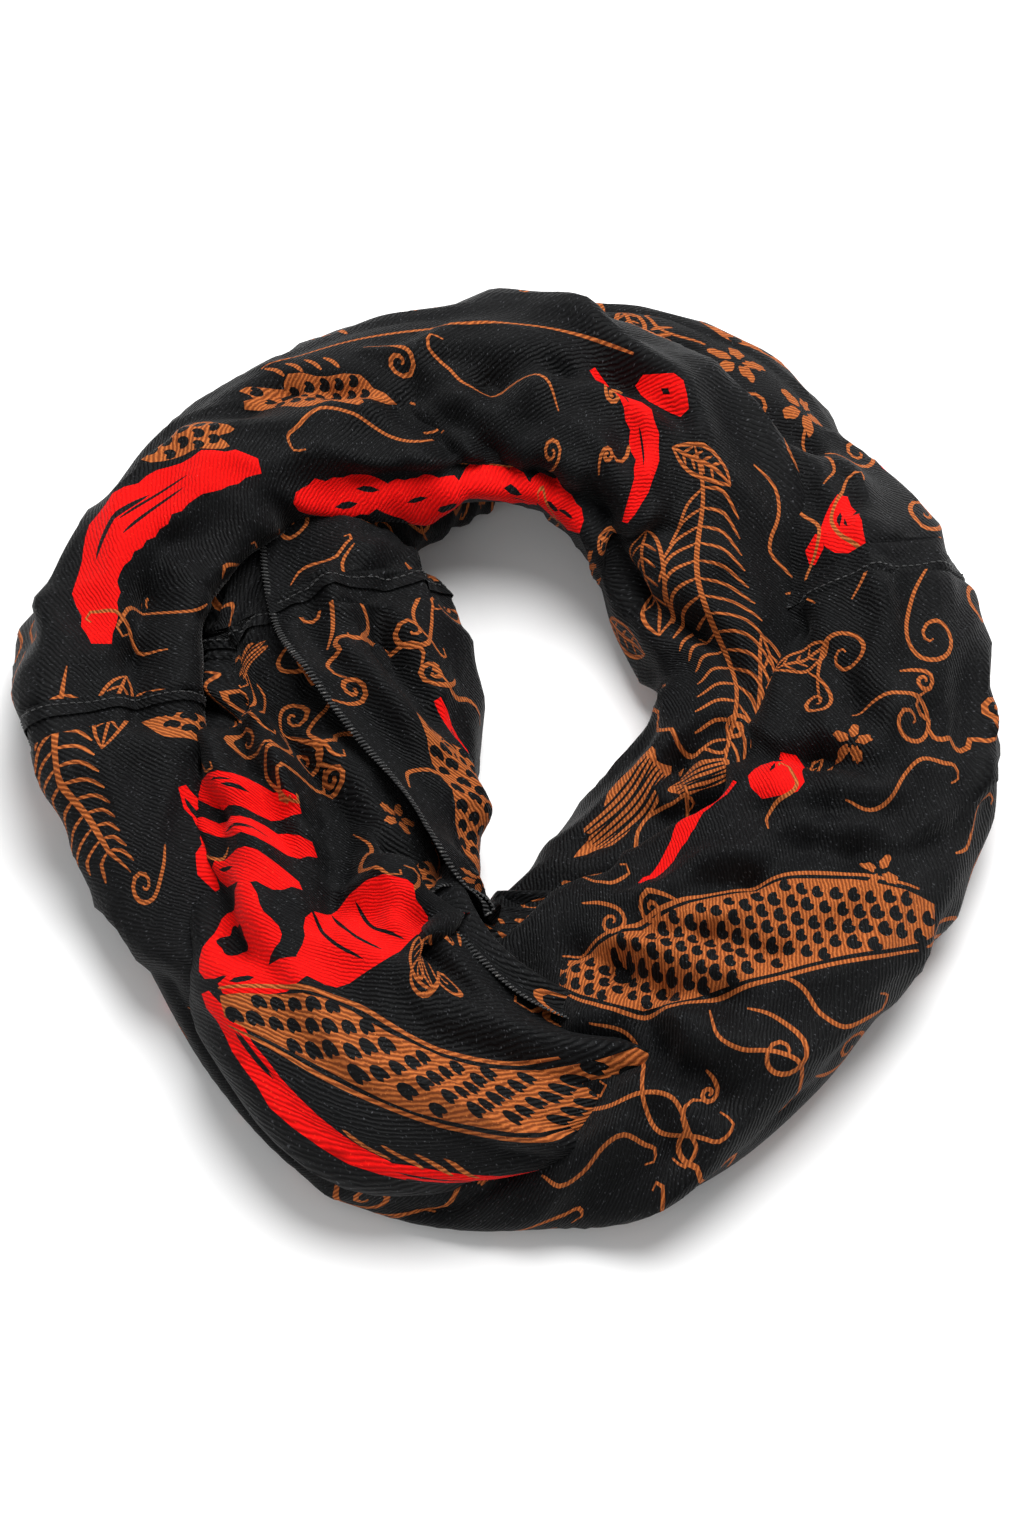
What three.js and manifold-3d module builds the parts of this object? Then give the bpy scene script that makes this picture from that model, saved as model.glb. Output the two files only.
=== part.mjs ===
// Loop scarf (snood) laid flat as a doubled ring: one endless band of twill,
// sewn from three panels and wound into two laps that cross once at the back.
// Millimetres, +Z up. The origin is on the table, under the middle of the ring.
import * as THREE from "three";
import { mergeVertices } from "three/addons/utils/BufferGeometryUtils.js";
import Module from "manifold-3d";

// Driving dimensions
const GAP = 0.35; // clearance between touching pieces
const THREAD_DIAMETER = 1.8; // an overlocked edge, as one round bead
const SEAM_DIAMETER = 2.4; // a lapped seam's ridge, with its row of stitches
const SEAM_SINK = 0.5; // how deep a seam ridge or edge bead lies in the cloth
const SECTION_POINTS = 12; // corners of a gathered strand's section
const BEAD_POINTS = 6; // corners of a bead's section
const ROUNDNESS = 0.8; // 1 is an ellipse, less is squarer
const RUNS = 8; // the loop is lofted in runs, which overlap each other
const STEPS_PER_RUN = 7; // rings of skin along one run
const BEAD_STEPS_PER_STATION = 2.4; // rings along an edge bead, for each station
const SEAM_STEPS = 14; // rings along a seam bead
const WELD = 0.001; // points closer than this are one
const TIDY = 0.05; // slivers thinner than this are merged away after a cut

// The gathered strand, station by station round both laps. Each holds the
// middle of the strand (x, y), the height range of its round section (low to
// high; below 0 it is pressed flat on the table), half its width, and how far
// along the skin the visible long edge lies from the top, towards the ring's
// middle. The first lap is the outer one, from the back crossing, down the
// left side, along the front and up the right side.
const STATIONS = [
  { x: -15, y: 154, low: 34, high: 74, half: 42, edge: 80 },
  { x: -66, y: 148, low: 22, high: 68, half: 40, edge: 66 },
  { x: -114, y: 130, low: 2, high: 60, half: 34, edge: 46 },
  { x: -149, y: 86, low: -5, high: 54, half: 28, edge: 36 },
  { x: -159, y: 30, low: -5, high: 50, half: 33, edge: 38 },
  { x: -142, y: -30, low: -5, high: 46, half: 20, edge: 32 },
  { x: -123, y: -69, low: -5, high: 38, half: 20, edge: 30 },
  { x: -96, y: -107, low: -5, high: 28, half: 24, edge: 50 },
  { x: -58, y: -134, low: -5, high: 24, half: 34, edge: 80 },
  { x: -14, y: -139, low: -5, high: 28, half: 45, edge: 100 },
  { x: 38, y: -118, low: -5, high: 44, half: 61, edge: 120 },
  { x: 82, y: -88, low: -5, high: 52, half: 58, edge: 125 },
  { x: 115, y: -52, low: -5, high: 54, half: 50, edge: 125 },
  { x: 139, y: -10, low: -5, high: 54, half: 47, edge: 125 },
  { x: 147, y: 38, low: -5, high: 54, half: 44, edge: 125 },
  { x: 141, y: 83, low: -5, high: 52, half: 35, edge: 125 },
  { x: 119, y: 128, low: -5, high: 44, half: 30, edge: 115 },
  { x: 84, y: 167, low: -5, high: 36, half: 38, edge: 105 },
  // the second lap, inside the first, passing under it at the back
  { x: 35, y: 182, low: -5, high: 32, half: 40, edge: 90 },
  { x: -16, y: 170, low: -5, high: 32, half: 42, edge: -60 },
  { x: -58, y: 142, low: -5, high: 36, half: 38, edge: -30 },
  { x: -84, y: 106, low: -5, high: 44, half: 38, edge: -16 },
  { x: -76, y: 64, low: -5, high: 50, half: 50, edge: -19 },
  { x: -69, y: 24, low: -5, high: 52, half: 54, edge: -5 },
  { x: -68, y: -20, low: -5, high: 54, half: 57, edge: 26 },
  { x: -66, y: -68, low: 2, high: 60, half: 56, edge: 50 },
  { x: -44, y: -108, low: 12, high: 62, half: 60, edge: 60 },
  { x: 0, y: -106, low: 6, high: 54, half: 60, edge: 40 },
  { x: 26, y: -80, low: -5, high: 34, half: 52, edge: 0 },
  { x: 44, y: -46, low: -5, high: 34, half: 36, edge: 40 },
  { x: 66, y: -7, low: -5, high: 38, half: 27, edge: 70 },
  { x: 90, y: 34, low: -5, high: 44, half: 23, edge: 90 },
  { x: 84, y: 76, low: -5, high: 50, half: 37, edge: 100 },
  { x: 74, y: 114, low: 6, high: 60, half: 43, edge: 100 },
  { x: 34, y: 146, low: 26, high: 72, half: 43, edge: 92 },
];
// Moves the laid ring so that the origin is under the middle of its box
const CENTRING = { x: 0.5, y: -19.5 };
// Where the seams cross the loop, in stations from the first one
const SEAMS = [
  { name: "left", at: 4.2 },
  { name: "right", at: 14.9 },
  { name: "inner", at: 21.9 },
];
// The stretch of the loop, in stations, where each long edge of the cloth lies
// outermost; past its ends the edge is wound inside the roll
const EDGES = [
  { name: "first", from: -6, to: 17.4 },
  { name: "second", from: 19.4, to: 25.8 },
];
const LOWEST_EDGE = -20; // degrees below level, where an edge tucks under
const EDGE_WALK = 2; // degrees per step on the way from the top to the edge
// A seam ridge runs over the top between these degrees of the section, and the
// groove for it goes on a little past both ends
const SEAM_ARC = { from: 12, to: 168, groove: 3 };
const SKIN_STEP = 0.02; // radians to each side, for the skin's direction

const CLOTH = { color: 0x1b1c1e, roughness: 0.85, metalness: 0 };
const THREAD = { color: 0x2a2b2d, roughness: 0.7, metalness: 0 };

const wasm = await Module();
wasm.setup();

const count = STATIONS.length;
const closedCurve = (point) =>
  new THREE.CatmullRomCurve3(STATIONS.map(point), true, "centripetal");
const middle = closedCurve(
  (s) => new THREE.Vector3(s.x + CENTRING.x, s.y + CENTRING.y, 0),
);
const profile = closedCurve((s) => new THREE.Vector3(s.low, s.high, s.half));
const wrap = (at) => (((at / count) % 1) + 1) % 1;

// The strand's frame at a place on the loop: its middle, the level direction
// towards the ring's middle, its height range and its half width.
function strandAt(at) {
  const centre = middle.getPoint(wrap(at));
  const ahead = middle.getTangent(wrap(at)).setZ(0).normalize();
  const inward = new THREE.Vector3(-ahead.y, ahead.x, 0);
  const { x: low, y: high, z: half } = profile.getPoint(wrap(at));
  return { centre, inward, low, high, half };
}

// A point on the strand's skin, angle in radians, grown outwards by grow.
// No point goes below the table.
function skinPoint(strand, angle, grow) {
  const c = Math.cos(angle);
  const s = Math.sin(angle);
  const across =
    Math.sign(c) * Math.abs(c) ** ROUNDNESS * (strand.half + grow);
  const tall = (strand.high - strand.low) / 2;
  const up = Math.sign(s) * Math.abs(s) ** ROUNDNESS * (tall + grow);
  return strand.centre
    .clone()
    .addScaledVector(strand.inward, across)
    .setZ(Math.max((strand.high + strand.low) / 2 + up, -grow));
}

// Skins rings of points into a closed body with flat ends.
function skin(rings) {
  const sides = rings[0].length;
  const points = rings.flat();
  const faces = [];
  for (let i = 0; i < rings.length - 1; i++)
    for (let j = 0; j < sides; j++) {
      const a = i * sides + j;
      const b = i * sides + ((j + 1) % sides);
      const c = a + sides;
      const d = b + sides;
      faces.push(a, c, b, b, c, d);
    }
  const end = points.length - sides;
  for (let j = 1; j < sides - 1; j++)
    faces.push(0, j, j + 1, end, end + j + 1, end + j);
  const geometry = new THREE.BufferGeometry().setFromPoints(points);
  geometry.setIndex(faces);
  return geometry;
}

function toSolid(geometry) {
  geometry.deleteAttribute("normal");
  geometry.deleteAttribute("uv");
  const merged = mergeVertices(geometry, WELD);
  const solid = new wasm.Manifold(
    new wasm.Mesh({
      numProp: 3,
      vertProperties: merged.attributes.position.array,
      triVerts: new Uint32Array(merged.index.array),
    }),
  );
  if (solid.volume() > 0) return solid;
  for (let i = 0; i < merged.index.count; i += 3) {
    const [b, c] = [merged.index.getX(i + 1), merged.index.getX(i + 2)];
    merged.index.setX(i + 1, c);
    merged.index.setX(i + 2, b);
  }
  return toSolid(merged);
}

function toMesh(name, solid, look) {
  const { vertProperties, triVerts } = solid.simplify(TIDY).getMesh();
  const geometry = new THREE.BufferGeometry();
  geometry.setAttribute("position", new THREE.BufferAttribute(vertProperties, 3));
  geometry.setIndex(new THREE.BufferAttribute(triVerts, 1));
  geometry.computeVertexNormals();
  const mesh = new THREE.Mesh(geometry, new THREE.MeshStandardMaterial(look));
  mesh.name = name;
  return mesh;
}

// The strand between two places on the loop, as one closed body.
function strandRun(from, to, grow = 0) {
  const rings = [];
  for (let i = 0; i <= STEPS_PER_RUN; i++) {
    const strand = strandAt(from + ((to - from) * i) / STEPS_PER_RUN);
    const ring = [];
    for (let j = 0; j < SECTION_POINTS; j++)
      ring.push(skinPoint(strand, (2 * Math.PI * (j + 0.5)) / SECTION_POINTS, grow));
    rings.push(ring);
  }
  return toSolid(skin(rings));
}

// A round bead along a list of points, each with the two directions that its
// section spans.
function bead(places, diameter) {
  const rings = places.map(({ at, out, side }) => {
    const ring = [];
    for (let j = 0; j < BEAD_POINTS; j++) {
      const angle = (2 * Math.PI * j) / BEAD_POINTS;
      ring.push(
        at
          .clone()
          .addScaledVector(out, (Math.cos(angle) * diameter) / 2)
          .addScaledVector(side, (Math.sin(angle) * diameter) / 2),
      );
    }
    return ring;
  });
  return toSolid(skin(rings));
}

// A place on the skin with the directions out of it and along its section.
function skinPlace(at, angle, lift) {
  const strand = strandAt(at);
  const here = skinPoint(strand, angle, 0);
  const side = skinPoint(strand, angle + SKIN_STEP, 0)
    .sub(skinPoint(strand, angle - SKIN_STEP, 0))
    .normalize();
  const ahead = new THREE.Vector3(strand.inward.y, -strand.inward.x, 0);
  const out = new THREE.Vector3().crossVectors(side, ahead).normalize();
  return { at: here.addScaledVector(out, lift), out, side, ahead };
}

// The angle on the strand's section of the visible long edge, found by walking
// along the skin from the top.
function edgeAngle(at) {
  const place = ((at % count) + count) % count;
  const before = STATIONS[Math.floor(place)];
  const after = STATIONS[Math.ceil(place) % count];
  const distance = THREE.MathUtils.lerp(before.edge, after.edge, place % 1);
  const strand = strandAt(at);
  const step = THREE.MathUtils.degToRad(distance > 0 ? -EDGE_WALK : EDGE_WALK);
  let angle = Math.PI / 2;
  let walked = 0;
  while (walked < Math.abs(distance) && angle > THREE.MathUtils.degToRad(LOWEST_EDGE)) {
    const here = skinPoint(strand, angle, 0);
    angle += step;
    walked += here.distanceTo(skinPoint(strand, angle, 0));
  }
  return angle;
}

function edgeBead({ from, to }, diameter) {
  const steps = Math.round((to - from) * BEAD_STEPS_PER_STATION);
  const places = [];
  for (let i = 0; i <= steps; i++) {
    const at = from + ((to - from) * i) / steps;
    places.push(skinPlace(at, edgeAngle(at), THREAD_DIAMETER / 2 - SEAM_SINK));
  }
  return bead(places, diameter);
}

// A seam's ridge goes over the strand's top, from one side to the other.
function seamBead(at, diameter, extra = 0) {
  const places = [];
  const from = SEAM_ARC.from - extra;
  const to = SEAM_ARC.to + extra;
  for (let i = 0; i <= SEAM_STEPS; i++) {
    const degrees = from + ((to - from) * i) / SEAM_STEPS;
    const place = skinPlace(
      at,
      THREE.MathUtils.degToRad(degrees),
      SEAM_DIAMETER / 2 - SEAM_SINK,
    );
    places.push({ at: place.at, out: place.out, side: place.ahead });
  }
  return bead(places, diameter);
}

// Three panels, cut at the seams and lofted in short runs. A run that lies
// higher keeps its shape, and what lies under or beside it is cut back.
const scarf = new THREE.Group();
const seamPlaces = SEAMS.map((s) => s.at);
const panels = SEAMS.map((seam, i) => ({
  name: `cloth_panel_${i + 1}`,
  from: seam.at,
  to: i + 1 < SEAMS.length ? SEAMS[i + 1].at : SEAMS[0].at + count,
}));
const STATION_LENGTH = middle.getLength() / count;
const JOIN = 0.02; // how far the runs of one panel reach into each other
const runs = [];
for (const panel of panels) {
  const parts = Math.max(1, Math.round(((panel.to - panel.from) * RUNS) / count));
  const trim = GAP / STATION_LENGTH;
  for (let i = 0; i < parts; i++) {
    const length = (panel.to - panel.from) / parts;
    const from = panel.from + length * i + (i ? -JOIN : trim);
    const to = panel.from + length * (i + 1) + (i < parts - 1 ? JOIN : -trim);
    const centre = strandAt((from + to) / 2);
    runs.push({ panel: panel.name, from, to, height: centre.high + centre.low });
  }
}
runs.forEach((run) => (run.solid = strandRun(run.from, run.to)));
const touches = (a, b) => {
  const apart = Math.abs(a.from - b.to);
  const across = Math.abs(b.from - a.to);
  const near = Math.min(apart, across, count - apart, count - across);
  return near < 3 * JOIN;
};
for (const run of runs)
  for (const other of runs)
    if (other.height > run.height && !touches(run, other))
      run.solid = run.solid.subtract(strandRun(other.from, other.to, GAP));

const edgeGrooves = EDGES.map((e) => edgeBead(e, THREAD_DIAMETER + 2 * GAP));
const seamGrooves = SEAMS.map((s) =>
  seamBead(s.at, SEAM_DIAMETER + 2 * GAP, SEAM_ARC.groove),
);
for (const panel of panels) {
  let cloth = runs
    .filter((run) => run.panel === panel.name)
    .map((run) => run.solid)
    .reduce((a, b) => a.add(b));
  for (const groove of [...edgeGrooves, ...seamGrooves])
    cloth = cloth.subtract(groove);
  const bodies = cloth.decompose().sort((a, b) => b.volume() - a.volume());
  scarf.add(toMesh(panel.name, bodies[0], CLOTH));
}
for (const [i, edge] of EDGES.entries()) {
  let thread = edgeBead(edge, THREAD_DIAMETER);
  for (const groove of [...edgeGrooves.slice(0, i), ...seamGrooves])
    thread = thread.subtract(groove);
  thread.decompose().forEach((body, j) => {
    scarf.add(toMesh(`edge_stitching_${edge.name}_${j + 1}`, body, THREAD));
  });
}
for (const seam of SEAMS)
  scarf.add(toMesh(`seam_stitching_${seam.name}`, seamBead(seam.at, SEAM_DIAMETER), THREAD));

export default scarf;
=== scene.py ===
import math
import bpy
import numpy as np
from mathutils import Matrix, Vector
from mathutils.geometry import delaunay_2d_cdt


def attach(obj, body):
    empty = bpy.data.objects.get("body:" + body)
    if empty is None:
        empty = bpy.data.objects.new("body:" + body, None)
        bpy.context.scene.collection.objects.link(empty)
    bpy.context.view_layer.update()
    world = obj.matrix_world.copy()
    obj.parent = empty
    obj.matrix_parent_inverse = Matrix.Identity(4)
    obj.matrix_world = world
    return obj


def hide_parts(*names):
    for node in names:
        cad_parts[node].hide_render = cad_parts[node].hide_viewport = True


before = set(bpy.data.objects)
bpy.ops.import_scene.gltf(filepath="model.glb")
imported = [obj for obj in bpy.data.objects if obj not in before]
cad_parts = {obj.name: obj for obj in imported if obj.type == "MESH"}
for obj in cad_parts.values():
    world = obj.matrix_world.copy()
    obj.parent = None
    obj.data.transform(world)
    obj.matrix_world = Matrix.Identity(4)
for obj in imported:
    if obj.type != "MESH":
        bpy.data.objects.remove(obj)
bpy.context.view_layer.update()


# ---- Camera, table and lights --------------------------------------------
# A pale studio table, seen steeply from the front, with a broad soft light
# above and behind the scarf.
CAMERA_ELEVATION = math.radians(67)
CAMERA_DISTANCE = 1.8
CAMERA_LENS = 105.5
SENSOR_HEIGHT = 36.0  # the long side of a full frame, in millimetres
LOOK_AT = Vector((0.0025, -0.0155, 0.024))

camera_data = bpy.data.cameras.new("studio camera")
camera_data.lens = CAMERA_LENS
camera_data.sensor_fit = "VERTICAL"
camera_data.sensor_height = SENSOR_HEIGHT
camera = bpy.data.objects.new("studio camera", camera_data)
back = Vector((0, -math.cos(CAMERA_ELEVATION), math.sin(CAMERA_ELEVATION)))
camera.location = LOOK_AT + back * CAMERA_DISTANCE
camera.rotation_euler = (math.pi / 2 - CAMERA_ELEVATION, 0, 0)
bpy.context.scene.collection.objects.link(camera)
bpy.context.scene.camera = camera
bpy.context.scene.view_settings.view_transform = "Standard"


def linear(hex_colour):
    """An sRGB hex colour as linear RGBA."""
    parts = [int(hex_colour[i : i + 2], 16) / 255 for i in (1, 3, 5)]
    return [c / 12.92 if c <= 0.04045 else ((c + 0.055) / 1.055) ** 2.4 for c in parts] + [1.0]


TABLE_REACH = 4.0  # metres from the middle of the table to each edge
table_mesh = bpy.data.meshes.new("table")
table_mesh.from_pydata(
    [(x * TABLE_REACH, y * TABLE_REACH, 0) for x, y in ((-1, -1), (1, -1), (1, 1), (-1, 1))],
    [], [(0, 1, 2, 3)],
)
table = bpy.data.objects.new("table", table_mesh)
bpy.context.scene.collection.objects.link(table)
# matt laminate: an even white without gloss, so that only soft shadows show on it
table_paint = bpy.data.materials.new("white laminate, matt")
table_paint.use_nodes = True
table_paint.node_tree.nodes["Principled BSDF"].inputs["Base Color"].default_value = linear("#fbfbfb")
table_paint.node_tree.nodes["Principled BSDF"].inputs["Roughness"].default_value = 0.9
table_mesh.materials.append(table_paint)


def soft_light(name, size, place, aim, watts):
    """A round softbox of the given diameter at a place, turned to its aim."""
    data = bpy.data.lights.new(name, "AREA")
    data.shape = "DISK"
    data.size = size
    data.energy = watts
    lamp = bpy.data.objects.new(name, data)
    lamp.location = place
    lamp.rotation_euler = (Vector(aim) - Vector(place)).to_track_quat("-Z", "Y").to_euler()
    bpy.context.scene.collection.objects.link(lamp)


soft_light("overhead softbox", 1.4, (0.3, 0.85, 1.6), (0, 0, 0), 50)
soft_light("front fill", 1.2, (-0.9, -1.2, 1.3), (0, 0, 0), 5)
world = bpy.data.worlds.new("studio")
world.use_nodes = True
world.node_tree.nodes["Background"].inputs["Color"].default_value = (1, 1, 1, 1)
world.node_tree.nodes["Background"].inputs["Strength"].default_value = 0.4
bpy.context.scene.world = world


# ---- The cloth: one endless band, rolled and wound twice --------------------
# 1.69 m of black cotton twill, 440 mm wide, gathered into a strand and wound
# into two laps. Its sections are rolls whose long edges show on the left.
CLOTH_WIDTH = 440.0
GRID = 3.0  # spacing of the points that carry the surface
ROUNDNESS = 0.8  # 1 makes an oval section, less a squarer one
FULLNESS = 1.5  # how far the outer turn of the roll swells past its plain section
LAYER_GAP = 14.0  # how far an inner turn lies inside the outer one
MOST_SUNK = 0.7  # the same at most, as a share of the roll's half height
SINK_RUN = 25.0  # an inner turn starts to sink this far before the full turn
INNER_LIFT = 0.6  # how much of the layer gap an inner turn keeps off the table
FLOOR = 0.8  # lowest height of the cloth above the table

# Middle of the strand (x, y), the height range of its round section (low,
# high), its half width, how far the long edge lies from the strand's top, and
# which long edge that is (0 the first, 1 the second); millimetres.
STATIONS = np.array([
    (-15, 154, 34, 74, 42, 80, 0.0),
    (-66, 148, 22, 68, 40, 66, 0.0),
    (-114, 130, 2, 60, 34, 46, 0.0),
    (-149, 86, -5, 54, 28, 36, 0.0),
    (-159, 30, -5, 50, 33, 38, 0.0),
    (-142, -30, -5, 46, 20, 32, 0.0),
    (-123, -69, -5, 38, 20, 30, 0.0),
    (-96, -107, -5, 28, 24, 50, 0.0),
    (-58, -134, -5, 24, 34, 80, 0.0),
    (-14, -139, -5, 28, 45, 100, 0.0),
    (38, -118, -5, 44, 61, 120, 0.0),
    (82, -88, -5, 52, 58, 125, 0.0),
    (115, -52, -5, 54, 50, 125, 0.0),
    (139, -10, -5, 54, 47, 125, 0.0),
    (147, 38, -5, 54, 44, 125, 0.0),
    (141, 83, -5, 52, 35, 125, 0.0),
    (119, 128, -5, 44, 30, 115, 0.0),
    (84, 167, -5, 36, 38, 105, 0.2),
    (35, 182, -5, 32, 40, 90, 0.5),
    (-16, 170, -5, 32, 42, 60, 0.8),
    (-58, 142, -5, 36, 38, 30, 1.0),
    (-84, 106, -5, 44, 38, 16, 1.0),
    (-76, 64, -5, 50, 50, 19, 1.0),
    (-69, 24, -5, 52, 54, 5, 1.0),
    (-68, -20, -5, 54, 57, -26, 1.0),
    (-66, -68, 2, 60, 56, -50, 1.0),
    (-44, -108, 12, 62, 60, -60, 1.0),
    (0, -106, 6, 54, 60, -40, 0.9),
    (26, -80, -5, 34, 52, 0, 0.6),
    (44, -46, -5, 34, 36, 40, 0.3),
    (66, -7, -5, 38, 27, 70, 0.1),
    (90, 34, -5, 44, 23, 90, 0.0),
    (84, 76, -5, 50, 37, 100, 0.0),
    (74, 114, 6, 60, 43, 100, 0.0),
    (34, 146, 26, 72, 43, 92, 0.0),
], float)
STATIONS[:, :2] += (0.5, -19.5)  # brings the middle of the ring's box to the origin
COUNT = len(STATIONS)


def along(values, at):
    """Smooth closed interpolation of station values at places counted in stations."""
    at = np.asarray(at, float) % COUNT
    i = np.floor(at).astype(int)
    t = (at - i)[:, None]
    p0, p1, p2, p3 = (values[(i + k) % COUNT] for k in (-1, 0, 1, 2))
    return 0.5 * (
        2 * p1 + (p2 - p0) * t + (2 * p0 - 5 * p1 + 4 * p2 - p3) * t**2 + (3 * p1 - p0 - 3 * p2 + p3) * t**3
    )


# arc length round the loop
FINE_STEPS = 60  # per station
fine = np.linspace(0, COUNT, COUNT * FINE_STEPS + 1)
fine_points = along(STATIONS[:, :2], fine)
lengths = np.concatenate([[0], np.cumsum(np.linalg.norm(np.diff(fine_points, axis=0), axis=1))])
LOOP = lengths[-1]

HEADING_REACH = 0.3  # stations to each side, for the direction of the strand


def strand(u):
    """Middle, inward direction and section values at lengths u round the loop."""
    at = np.interp(np.asarray(u, float) % LOOP, lengths, fine)
    values = along(STATIONS, at)
    step = along(STATIONS[:, :2], at + HEADING_REACH) - along(STATIONS[:, :2], at - HEADING_REACH)
    step /= np.linalg.norm(step, axis=1)[:, None]
    inward = np.stack([-step[:, 1], step[:, 0]], 1)
    return values, inward


def smooth(x):
    """An even rise from 0 to 1, level at both ends."""
    x = np.clip(x, 0, 1)
    return x * x * (3 - 2 * x)


SECTION_SAMPLES = 96
section_angle = np.linspace(-math.pi / 2, 3 * math.pi / 2, SECTION_SAMPLES + 1)
section_x = np.sign(np.cos(section_angle)) * np.abs(np.cos(section_angle)) ** ROUNDNESS
section_z = np.sign(np.sin(section_angle)) * np.abs(np.sin(section_angle)) ** ROUNDNESS
TOP_SAMPLE = SECTION_SAMPLES // 2


def cloth_surface(u, v):
    """Points of the rolled cloth on the grid u (round the loop) by v (across).

    With them comes how far each is wound in, from 0 on the outer turn to 1 on an inner one.
    """
    values, inward = strand(u)
    low, high, half, edge, turned = values[:, 2:].T
    half = half + FULLNESS
    tall = (high - low) / 2
    centre_z = (high + low) / 2
    out = np.zeros((len(u), len(v), 3))
    wound_in = np.zeros((len(u), len(v)))
    for i in range(len(u)):
        xs = section_x * half[i]
        zs = section_z * tall[i]
        run = np.concatenate([[0], np.cumsum(np.hypot(np.diff(xs), np.diff(zs)))])
        around = run[-1]
        top = edge[i] * (1 - turned[i]) + (CLOTH_WIDTH - around - edge[i]) * turned[i]
        place = v - top + run[TOP_SAMPLE]
        wrapped = place % around
        x = np.interp(wrapped, run, xs)
        z = np.interp(wrapped, run, zs)
        first_in = smooth((CLOTH_WIDTH - around + SINK_RUN - v) / (2 * SINK_RUN)) * turned[i]
        second_in = smooth((v - around + SINK_RUN) / (2 * SINK_RUN)) * (1 - turned[i])
        wound_in[i] = first_in + second_in
        inset = min(LAYER_GAP, MOST_SUNK * tall[i]) * wound_in[i]
        x *= 1 - inset / half[i]
        z = z * (1 - inset / tall[i]) + centre_z[i]
        out[i, :, :2] = values[i, :2] + inward[i] * x[:, None]
        out[i, :, 2] = np.maximum(z, FLOOR + inset * INNER_LIFT)
    return out, wound_in


u_count = int(round(LOOP / GRID))
v_count = int(round(CLOTH_WIDTH / GRID)) + 1
STEP_U = LOOP / u_count
STEP_V = CLOTH_WIDTH / (v_count - 1)
grid_u = np.arange(u_count) * STEP_U
grid_v = np.arange(v_count) * STEP_V
surface, wound_in = cloth_surface(grid_u, grid_v)


def normals(points):
    """Unit normals of the grid of laid points, facing out of the roll."""
    round_step = np.roll(points, -1, axis=0) - np.roll(points, 1, axis=0)
    across_step = np.gradient(points, axis=1)
    out = np.cross(across_step, round_step)
    return out / np.maximum(np.linalg.norm(out, axis=2), 1e-6)[:, :, None]


outward = normals(surface)
if np.mean(outward[:, v_count // 4, 2]) < 0:
    outward = -outward


# ---- Wrinkles and folds ----------------------------------------------------
# Soft twill crumples where it is gathered: broad hollows with ridges between
# them, fine wrinkles along the roll, puckers in the bends, and some big folds.
LEAN_SPREAD = 0.75  # radians, how far the waves lean from the long edges
ROUND_SHARE = 0.8  # waves round the loop are drawn longer by this share


def waves(count, shortest, longest, seed):
    """Smooth random waves over the cloth, which meet themselves round the loop."""
    draw = np.random.default_rng(seed)
    total = np.zeros((u_count, v_count))
    for _ in range(count):
        reach = draw.uniform(shortest, longest)
        lean = draw.normal(0, LEAN_SPREAD)
        turns = round(LOOP / reach * math.sin(lean) * ROUND_SHARE)
        phase = draw.uniform(0, 2 * math.pi)
        across = 2 * math.pi / reach * math.cos(lean)
        total += np.cos(2 * math.pi * turns * grid_u[:, None] / LOOP + across * grid_v[None, :] + phase)
    return total / math.sqrt(count / 2)


# crumpling: broad hollows that meet in sharp ridges, with smaller ones on them
HOLLOW_DEPTH = 6.8
DIMPLE_DEPTH = 2.9
LEVEL = 0.75  # keeps the mean height of the folded waves near the plain surface
relief = HOLLOW_DEPTH * (LEVEL - np.abs(waves(26, 70, 180, 1)))
relief = relief + DIMPLE_DEPTH * (LEVEL - np.abs(waves(34, 30, 66, 2)))


def fold(points, width, depth):
    """A fold along a few points of the flat cloth: a valley, or a ridge where depth is negative."""
    for (u0, v0), (u1, v1) in zip(points[:-1], points[1:]):
        reach = 3 * width
        near_u = (grid_u - min(u0, u1) + reach) % LOOP < abs(u1 - u0) + 2 * reach
        near_v = (grid_v > min(v0, v1) - reach) & (grid_v < max(v0, v1) + reach)
        u = (grid_u[near_u] - u0 + LOOP / 2) % LOOP - LOOP / 2
        v = grid_v[near_v] - v0
        length = math.hypot(u1 - u0, v1 - v0)
        run, rise = (u1 - u0) / length, (v1 - v0) / length
        t = np.clip(u[:, None] * run + v[None, :] * rise, 0, length)
        away = np.hypot(u[:, None] - t * run, v[None, :] - t * rise) / width
        # the cloth swells a little the other way beside the fold, then lies flat
        relief[np.ix_(near_u, near_v)] += -depth * (1 - 0.4 * away**2) * np.exp(-(away**1.5))


# soft wrinkles that run round the loop, as a rolled strand takes them
WRINKLES = 210
PUCKERS = 120
rumple = np.random.default_rng(11)
for _ in range(WRINKLES):
    u0 = rumple.uniform(0, LOOP)
    v0 = rumple.uniform(0, CLOTH_WIDTH)
    length = rumple.uniform(35, 120)
    lean = rumple.normal(0, 0.28)
    bow = rumple.normal(0, 5)
    middle = (u0 + length / 2, v0 + length / 2 * lean + bow)
    fold([(u0, v0), middle, (u0 + length, v0 + length * lean)], rumple.uniform(4, 8), rumple.normal(0, 1.9))

# puckers across the strand, on the side that a bend shortens
for _ in range(PUCKERS):
    u0 = rumple.uniform(0, LOOP)
    v0 = rumple.uniform(0, 60) if rumple.random() < 0.5 else rumple.uniform(CLOTH_WIDTH - 70, CLOTH_WIDTH)
    end = (u0 + rumple.normal(0, 8), v0 + rumple.uniform(18, 40))
    fold([(u0, v0), end], rumple.uniform(4, 7), rumple.normal(0, 1.6))

DEEPEST_CRUMPLE, HIGHEST_CRUMPLE = -6, 9
relief = np.clip(relief, DEEPEST_CRUMPLE, HIGHEST_CRUMPLE)

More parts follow.
